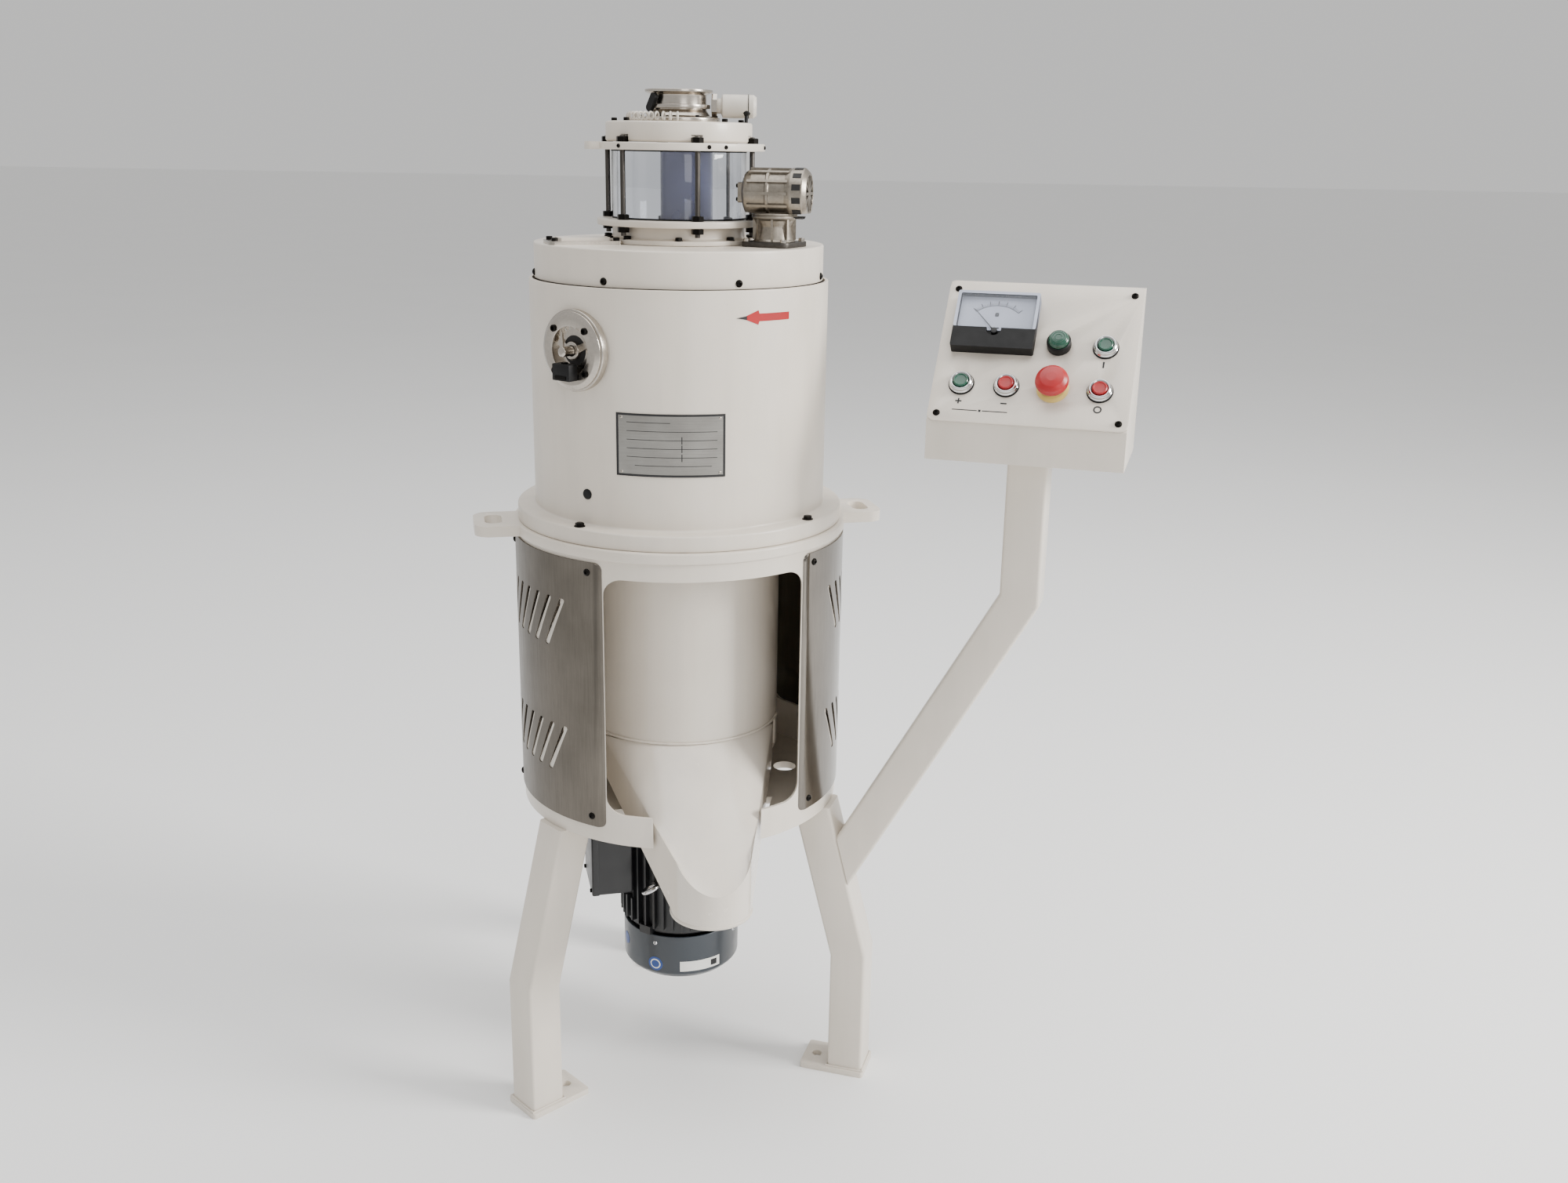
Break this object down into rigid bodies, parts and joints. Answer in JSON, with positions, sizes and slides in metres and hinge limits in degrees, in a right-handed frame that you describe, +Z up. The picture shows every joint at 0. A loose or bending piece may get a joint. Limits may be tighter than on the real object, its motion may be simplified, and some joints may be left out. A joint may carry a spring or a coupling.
{
  "type": "vertical hammer mill",
  "caption": "Vertical hammer mill on three legs with a coaxial motor, sight glass feed head, discharge chute and an arm-mounted control console.",
  "frame": {"origin": "centre of the machine's footprint, on the floor", "axes": "+Z up, -Y towards the front where the chute is, +X to the console's side"},
  "size_m": [0.809, 0.637, 1.33],
  "materials": {
    "cream_paint": "semi-gloss powder coat",
    "cover_steel": "dark brushed sheet",
    "stainless": "turned and polished",
    "cast_iron": "machined casting",
    "cast_aluminium": "die cast, satin",
    "motor_black": "black enamel",
    "fan_cover_paint": "dark blue-grey enamel",
    "chrome": "plated",
    "green_plastic": "translucent lens",
    "red_plastic": "moulded",
    "black_plastic": "moulded",
    "pale_plastic": "moulded",
    "clear_glass": "clear tube"
  },
  "bodies": {
    "frame": {"base_shell": "cream_paint", "lifting_flange": "cream_paint", "collecting_drum": "cream_paint", "discharge_chute": "cream_paint", "upper_housing": "cream_paint", "housing_lid": "cream_paint", "glass_neck": "cream_paint", "head_cap": "cream_paint", "leg_left": "cream_paint", "leg_right": "cream_paint", "leg_rear": "cream_paint", "console_arm": "cream_paint", "console_box": "cream_paint", "console_cover": "cream_paint", "side_cover_right": "cover_steel", "side_cover_left": "cover_steel", "screen": "stainless", "indicator_flange": "stainless", "lower_glass_flange": "stainless", "upper_glass_flange": "stainless", "inlet_stub": "stainless", "bearing_lower": "stainless", "bearing_upper": "stainless", "rotor_floor": "cast_iron", "bearing_housing": "cast_iron", "actuator_gearbox": "cast_aluminium", "actuator_motor": "cast_aluminium", "motor_body": "motor_black", "terminal_box": "motor_black", "fan_cover": "fan_cover_paint", "start_bezel": "chrome", "stop_bezel": "chrome", "plus_bezel": "chrome", "minus_bezel": "chrome", "pilot_lamp": "green_plastic", "limit_switch": "black_plastic", "meter_housing": "black_plastic", "level_sensor": "pale_plastic", "sight_glass": "clear_glass"},
    "rotor": {"spindle": "stainless", "rotor_cage": "cast_iron", "distributor_cone": "stainless", "shaft_coupling": "cast_iron", "motor_shaft": "stainless", "motor_fan": "black_plastic"},
    "hammers_1": {"hammer_set_1": "stainless"},
    "hammers_2": {"hammer_set_2": "stainless"},
    "hammers_3": {"hammer_set_3": "stainless"},
    "hammers_4": {"hammer_set_4": "stainless"},
    "gap_gear": {"adjusting_ring_gear": "cast_iron"},
    "gap_pinion": {"adjusting_pinion": "cast_iron"},
    "breaker": {"breaker_ring": "cast_iron"},
    "gap_indicator": {"indicator_shaft": "stainless"},
    "start": {"start_button": "green_plastic"},
    "stop": {"stop_button": "red_plastic"},
    "plus": {"plus_button": "green_plastic"},
    "minus": {"minus_button": "red_plastic"},
    "emergency_plunger": {"emergency_stem": "black_plastic"},
    "emergency_knob": {"emergency_head": "red_plastic"},
    "needle": {"meter_needle": "red_plastic"}
  },
  "joints": [
    {"name": "rotor_spin", "type": "hinge", "parent": "frame", "child": "rotor", "pos_m": [-0.13353, 0.03548, 0.94], "axis": [0, 0, 1], "continuous": true},
    {"name": "hammers_1_swing", "type": "hinge", "parent": "rotor", "child": "hammers_1", "pos_m": [-0.13353, -0.05952, 0.94], "axis": [0, 0, 1], "range_deg": [-40, 40]},
    {"name": "hammers_2_swing", "type": "hinge", "parent": "rotor", "child": "hammers_2", "pos_m": [-0.03853, 0.03548, 0.94], "axis": [0, 0, 1], "range_deg": [-40, 40]},
    {"name": "hammers_3_swing", "type": "hinge", "parent": "rotor", "child": "hammers_3", "pos_m": [-0.13353, 0.13048, 0.94], "axis": [0, 0, 1], "range_deg": [-40, 40]},
    {"name": "hammers_4_swing", "type": "hinge", "parent": "rotor", "child": "hammers_4", "pos_m": [-0.22853, 0.03548, 0.94], "axis": [0, 0, 1], "range_deg": [-40, 40]},
    {"name": "gap_gear_turn", "type": "hinge", "parent": "frame", "child": "gap_gear", "pos_m": [-0.13353, 0.03548, 1.121], "axis": [0, 0, 1], "range_deg": [0, 120]},
    {"name": "gap_pinion_turn", "type": "hinge", "parent": "frame", "child": "gap_pinion", "pos_m": [-0.03011, -0.0513, 1.121], "axis": [0, 0, 1], "range_deg": [-530, 0]},
    {"name": "breaker_slide", "type": "slide", "parent": "frame", "child": "breaker", "axis": [0, 0, 1], "range_m": [-0.0081, 0]},
    {"name": "gap_indicator_turn", "type": "hinge", "parent": "frame", "child": "gap_indicator", "pos_m": [-0.27908, -0.08665, 1.028], "axis": [-0.766, -0.6428, 0], "range_deg": [0, 48.5]},
    {"name": "start_push", "type": "slide", "parent": "frame", "child": "start", "axis": [0.383, 0.6634, -0.6428], "range_m": [0, 0.003], "stiffness_N_per_m": 300, "springref_m": -0.002},
    {"name": "stop_push", "type": "slide", "parent": "frame", "child": "stop", "axis": [0.383, 0.6634, -0.6428], "range_m": [0, 0.003], "stiffness_N_per_m": 300, "springref_m": -0.002},
    {"name": "plus_push", "type": "slide", "parent": "frame", "child": "plus", "axis": [0.383, 0.6634, -0.6428], "range_m": [0, 0.003], "stiffness_N_per_m": 300, "springref_m": -0.002},
    {"name": "minus_push", "type": "slide", "parent": "frame", "child": "minus", "axis": [0.383, 0.6634, -0.6428], "range_m": [0, 0.003], "stiffness_N_per_m": 300, "springref_m": -0.002},
    {"name": "emergency_push", "type": "slide", "parent": "frame", "child": "emergency_plunger", "axis": [0.383, 0.6634, -0.6428], "range_m": [0, 0.005]},
    {"name": "emergency_twist", "type": "hinge", "parent": "emergency_plunger", "child": "emergency_knob", "pos_m": [0.25891, -0.2568, 1.00669], "axis": [0.383, 0.6634, -0.6428], "range_deg": [0, 45], "stiffness_Nm_per_rad": 0.05},
    {"name": "needle_swing", "type": "hinge", "parent": "frame", "child": "needle", "pos_m": [0.21567, -0.17369, 1.05581], "axis": [-0.383, -0.6634, 0.6428], "range_deg": [-84, 0], "stiffness_Nm_per_rad": 0.002, "springref_deg": 5.73}
  ],
  "couplings": [
    {"joint": "gap_pinion_turn", "follows": "gap_gear_turn", "ratio": -4.4},
    {"joint": "breaker_slide", "follows": "gap_gear_turn", "m_per_rad": -0.0038197},
    {"joint": "gap_indicator_turn", "follows": "gap_gear_turn", "ratio": 0.4}
  ]
}
